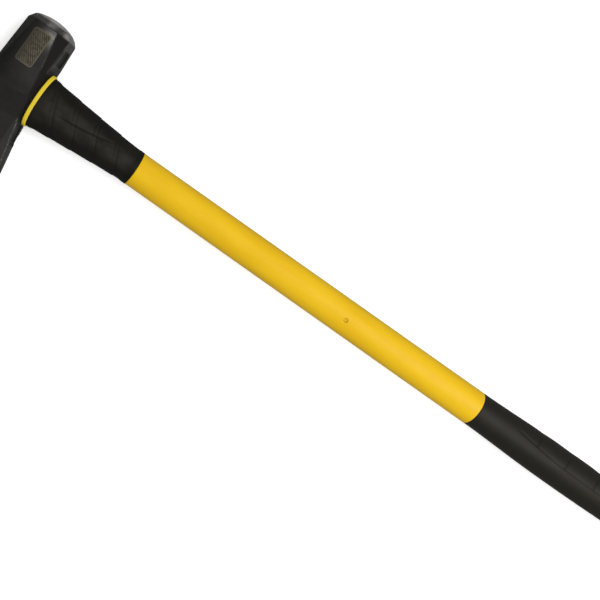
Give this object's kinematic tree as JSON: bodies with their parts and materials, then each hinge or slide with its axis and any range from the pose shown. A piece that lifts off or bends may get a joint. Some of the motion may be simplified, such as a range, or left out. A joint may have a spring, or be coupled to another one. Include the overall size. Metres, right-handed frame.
{
  "type": "splitting sledgehammer",
  "caption": "Long-handled hammer: octagonal striking poll, flared splitting wedge, bonded oval handle with rubber sleeve and grip.",
  "frame": {"origin": "where the eye's centre line crosses the resting cheek, at the head's mid-plane: the tool lies on that cheek", "axes": "+X along the handle from the head to the butt, +Y along the head towards the striking face, +Z out of the upper cheek"},
  "size_m": [0.919, 0.2105, 0.049],
  "materials": {
    "forged_steel": "forged, black coated, satin",
    "epoxy": "cured resin, glossy",
    "dam_rubber": "matte foam rubber",
    "cap_polymer": "moulded, satin",
    "fibreglass": "pultruded glass and resin",
    "jacket_polymer": "moulded, satin",
    "ring_polymer": "moulded, satin",
    "sleeve_rubber": "matte moulded rubber",
    "grip_rubber": "matte moulded rubber",
    "butt_rubber": "matte moulded rubber"
  },
  "bodies": {
    "root": {"head": "forged_steel", "eye_resin": "epoxy", "eye_dam": "dam_rubber", "eye_cap": "cap_polymer", "handle_core": "fibreglass", "handle_jacket": "jacket_polymer", "collar_ring": "ring_polymer", "overstrike_sleeve": "sleeve_rubber", "grip_sleeve": "grip_rubber", "butt_cap": "butt_rubber"}
  },
  "joints": []
}
